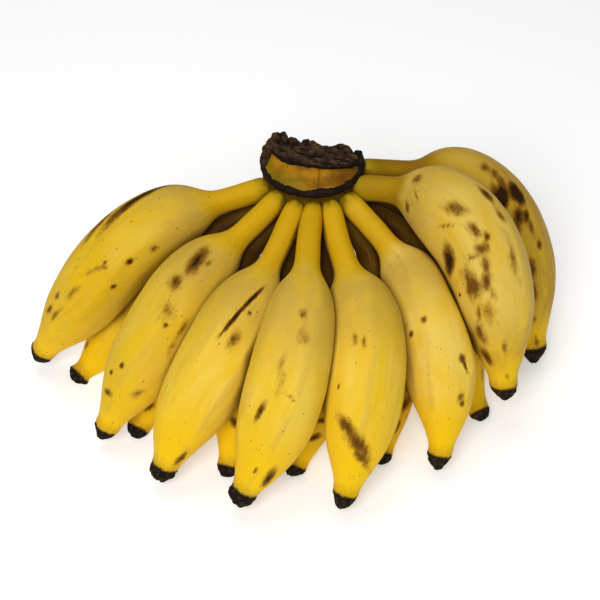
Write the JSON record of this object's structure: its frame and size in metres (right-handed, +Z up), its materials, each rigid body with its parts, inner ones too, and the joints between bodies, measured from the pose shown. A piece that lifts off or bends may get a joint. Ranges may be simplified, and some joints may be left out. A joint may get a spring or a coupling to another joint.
{
  "type": "bunch of bananas",
  "caption": "Hand of short, plump ripe bananas that fan out in staggered rows from a dried, cut crown, arch over and rest on their blossom ends.",
  "frame": {"origin": "on the surface the hand lies on, below the middle of its bounding box", "axes": "+X along the width of the fan, +Y from the fruit towards the cut back of the crown, +Z up"},
  "size_m": [0.2786, 0.1768, 0.1229],
  "materials": {
    "banana_skin": "ripe yellow peel with a soft waxy sheen, brown specks and bruises, dark dried blossom ends",
    "crown": "dried dark brown stalk, rough where it was cut, with an orange-yellow slope above a black scar band"
  },
  "bodies": {
    "root": {"crown": "crown", "banana_top_1": "banana_skin", "banana_top_2": "banana_skin", "banana_top_3": "banana_skin", "banana_top_4": "banana_skin", "banana_top_5": "banana_skin", "banana_top_6": "banana_skin", "banana_top_7": "banana_skin", "banana_top_8": "banana_skin", "banana_lower_1": "banana_skin", "banana_lower_2": "banana_skin", "banana_lower_3": "banana_skin", "banana_lower_4": "banana_skin", "banana_lower_5": "banana_skin", "banana_lower_6": "banana_skin", "banana_lower_7": "banana_skin", "banana_lower_8": "banana_skin"}
  },
  "joints": []
}
